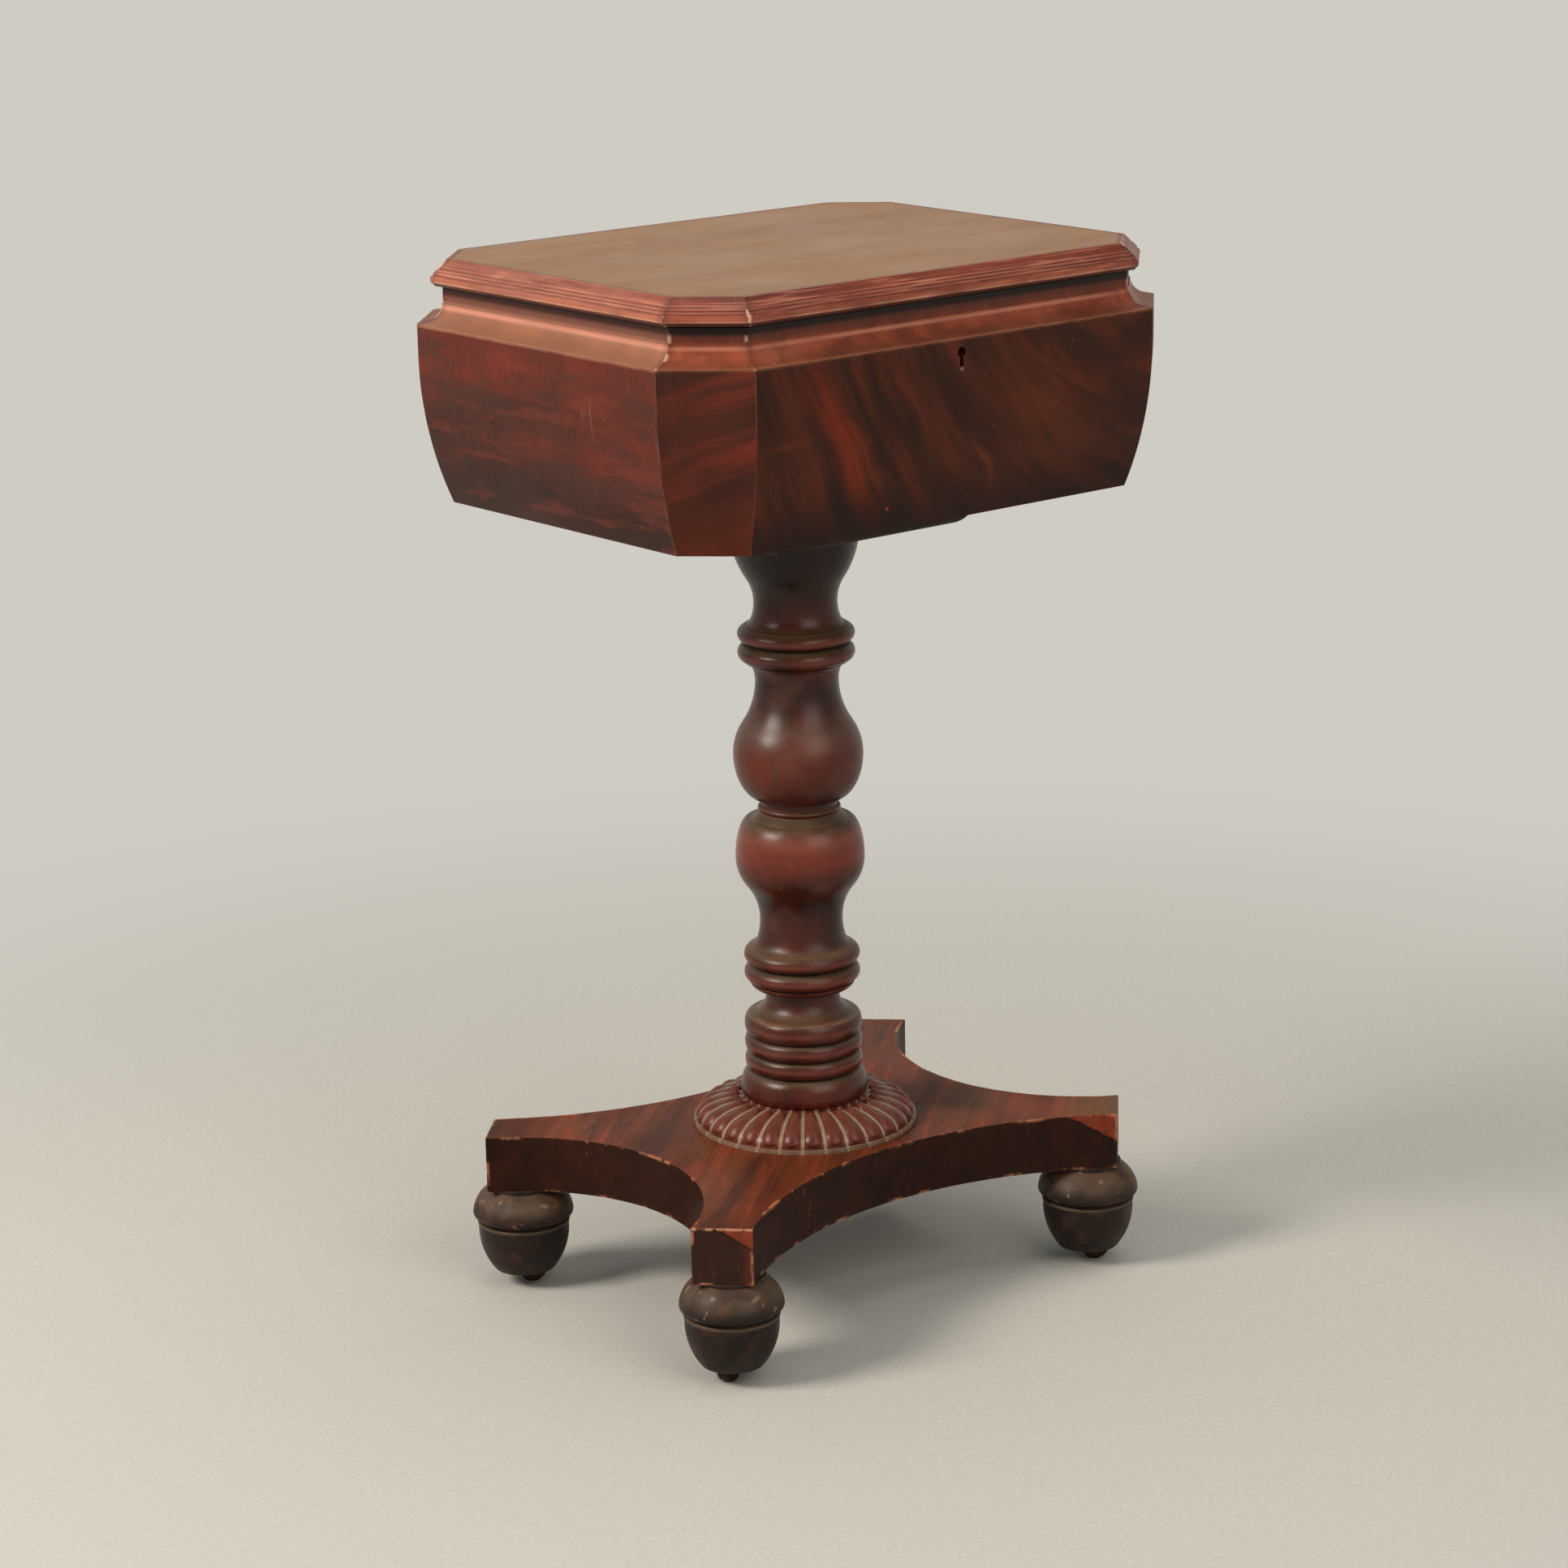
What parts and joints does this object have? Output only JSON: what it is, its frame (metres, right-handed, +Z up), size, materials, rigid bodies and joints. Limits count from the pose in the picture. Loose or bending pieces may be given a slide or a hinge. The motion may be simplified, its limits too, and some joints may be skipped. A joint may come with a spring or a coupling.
{
  "type": "teapoy",
  "caption": "Tea chest with canted corners, hinged lid, tea caddies and mixing bowls, on a turned column with a gadrooned collar, a hollow-sided platform and turned feet on castors.",
  "frame": {"origin": "on the floor at the middle of the footprint, under the column's axis", "axes": "+Z up, -Y towards the front with the keyhole, +X to the right when facing the keyhole"},
  "size_m": [0.4396, 0.3556, 0.75],
  "materials": {
    "lid_veneer": "waxed satin",
    "lid_mahogany": "waxed satin",
    "box_mahogany": "polished flame veneer",
    "neck_mahogany": "waxed satin",
    "stand_mahogany": "polished",
    "inner_mahogany": "matte",
    "turned_mahogany": "polished",
    "lining_paper": "matte",
    "glass": "clear",
    "brass": "aged",
    "steel": "dull"
  },
  "bodies": {
    "stand_and_box": {"wall_front": "box_mahogany", "wall_back": "box_mahogany", "wall_left": "box_mahogany", "wall_right": "box_mahogany", "corner_staves": "box_mahogany", "neck_moulding_front": "neck_mahogany", "neck_moulding_back": "neck_mahogany", "neck_moulding_left": "neck_mahogany", "neck_moulding_right": "neck_mahogany", "neck_corner_mouldings": "neck_mahogany", "bottom_board": "inner_mahogany", "box_hinge_leaves": "brass", "hinge_pins": "brass", "lock_case": "brass", "box_screws": "brass", "cross_partition": "inner_mahogany", "caddy_divider": "inner_mahogany", "bowl_board": "inner_mahogany", "bowl_board_ledges": "inner_mahogany", "mixing_bowl_left": "glass", "mixing_bowl_right": "glass", "caddy_case_left": "inner_mahogany", "caddy_case_right": "inner_mahogany", "caddy_hinge_pins": "brass", "bearer_block": "stand_mahogany", "bearer_screws": "steel", "column": "stand_mahogany", "gadrooned_collar": "stand_mahogany", "platform": "stand_mahogany", "foot_front_left": "stand_mahogany", "foot_front_right": "stand_mahogany", "foot_back_left": "stand_mahogany", "foot_back_right": "stand_mahogany", "castor_plates": "brass", "castor_screws": "brass"},
    "lid": {"lid_panel": "lid_veneer", "lid_moulding_front": "lid_mahogany", "lid_moulding_back": "lid_mahogany", "lid_moulding_left": "lid_mahogany", "lid_moulding_right": "lid_mahogany", "lid_corner_mouldings": "lid_mahogany", "lid_lining": "lining_paper", "lid_hinge_leaves": "brass", "lid_link_plate": "brass", "lid_screws": "brass"},
    "lock_bolt": {"lock_bolt": "brass"},
    "caddy_lid_left": {"caddy_lid_left": "inner_mahogany", "caddy_knob_left": "turned_mahogany"},
    "caddy_lid_right": {"caddy_lid_right": "inner_mahogany", "caddy_knob_right": "turned_mahogany"},
    "castor_horn_front_left": {"castor_horn_front_left": "brass"},
    "castor_wheel_front_left": {"castor_wheel_front_left": "brass"},
    "castor_horn_front_right": {"castor_horn_front_right": "brass"},
    "castor_wheel_front_right": {"castor_wheel_front_right": "brass"},
    "castor_horn_back_left": {"castor_horn_back_left": "brass"},
    "castor_wheel_back_left": {"castor_wheel_back_left": "brass"},
    "castor_horn_back_right": {"castor_horn_back_right": "brass"},
    "castor_wheel_back_right": {"castor_wheel_back_right": "brass"}
  },
  "joints": [
    {"name": "lid_hinge", "type": "hinge", "parent": "stand_and_box", "child": "lid", "pos_m": [0, 0.1642, 0.73145], "axis": [-1, 0, 0], "range_deg": [0, 95]},
    {"name": "lock_slide", "type": "slide", "parent": "stand_and_box", "child": "lock_bolt", "axis": [1, 0, 0], "range_m": [0, 0.006]},
    {"name": "caddy_lid_left_hinge", "type": "hinge", "parent": "stand_and_box", "child": "caddy_lid_left", "pos_m": [-0.1, 0.11098, 0.7021], "axis": [-1, 0, 0], "range_deg": [0, 95]},
    {"name": "caddy_lid_right_hinge", "type": "hinge", "parent": "stand_and_box", "child": "caddy_lid_right", "pos_m": [0.1, 0.11098, 0.7021], "axis": [-1, 0, 0], "range_deg": [0, 95]},
    {"name": "castor_swivel_front_left", "type": "hinge", "parent": "stand_and_box", "child": "castor_horn_front_left", "pos_m": [-0.167, -0.1208, 0.03], "axis": [0, 0, 1], "continuous": true},
    {"name": "castor_roll_front_left", "type": "hinge", "parent": "castor_horn_front_left", "child": "castor_wheel_front_left", "pos_m": [-0.1717, -0.12251, 0.01], "axis": [0.342, -0.9397, 0], "continuous": true},
    {"name": "castor_swivel_front_right", "type": "hinge", "parent": "stand_and_box", "child": "castor_horn_front_right", "pos_m": [0.167, -0.1208, 0.03], "axis": [0, 0, 1], "continuous": true},
    {"name": "castor_roll_front_right", "type": "hinge", "parent": "castor_horn_front_right", "child": "castor_wheel_front_right", "pos_m": [0.1711, -0.12367, 0.01], "axis": [0.5736, 0.8192, 0], "continuous": true},
    {"name": "castor_swivel_back_left", "type": "hinge", "parent": "stand_and_box", "child": "castor_horn_back_left", "pos_m": [-0.167, 0.1208, 0.03], "axis": [0, 0, 1], "continuous": true},
    {"name": "castor_roll_back_left", "type": "hinge", "parent": "castor_horn_back_left", "child": "castor_wheel_back_left", "pos_m": [-0.16247, 0.11869, 0.01], "axis": [0.4226, 0.9063, 0], "continuous": true},
    {"name": "castor_swivel_back_right", "type": "hinge", "parent": "stand_and_box", "child": "castor_horn_back_right", "pos_m": [0.167, 0.1208, 0.03], "axis": [0, 0, 1], "continuous": true},
    {"name": "castor_roll_back_right", "type": "hinge", "parent": "castor_horn_back_right", "child": "castor_wheel_back_right", "pos_m": [0.1711, 0.12367, 0.01], "axis": [-0.5736, 0.8192, 0], "continuous": true}
  ],
  "couplings": [
    {"joint": "caddy_lid_left_hinge", "follows": "lid_hinge", "ratio": 1},
    {"joint": "caddy_lid_right_hinge", "follows": "lid_hinge", "ratio": 1}
  ]
}
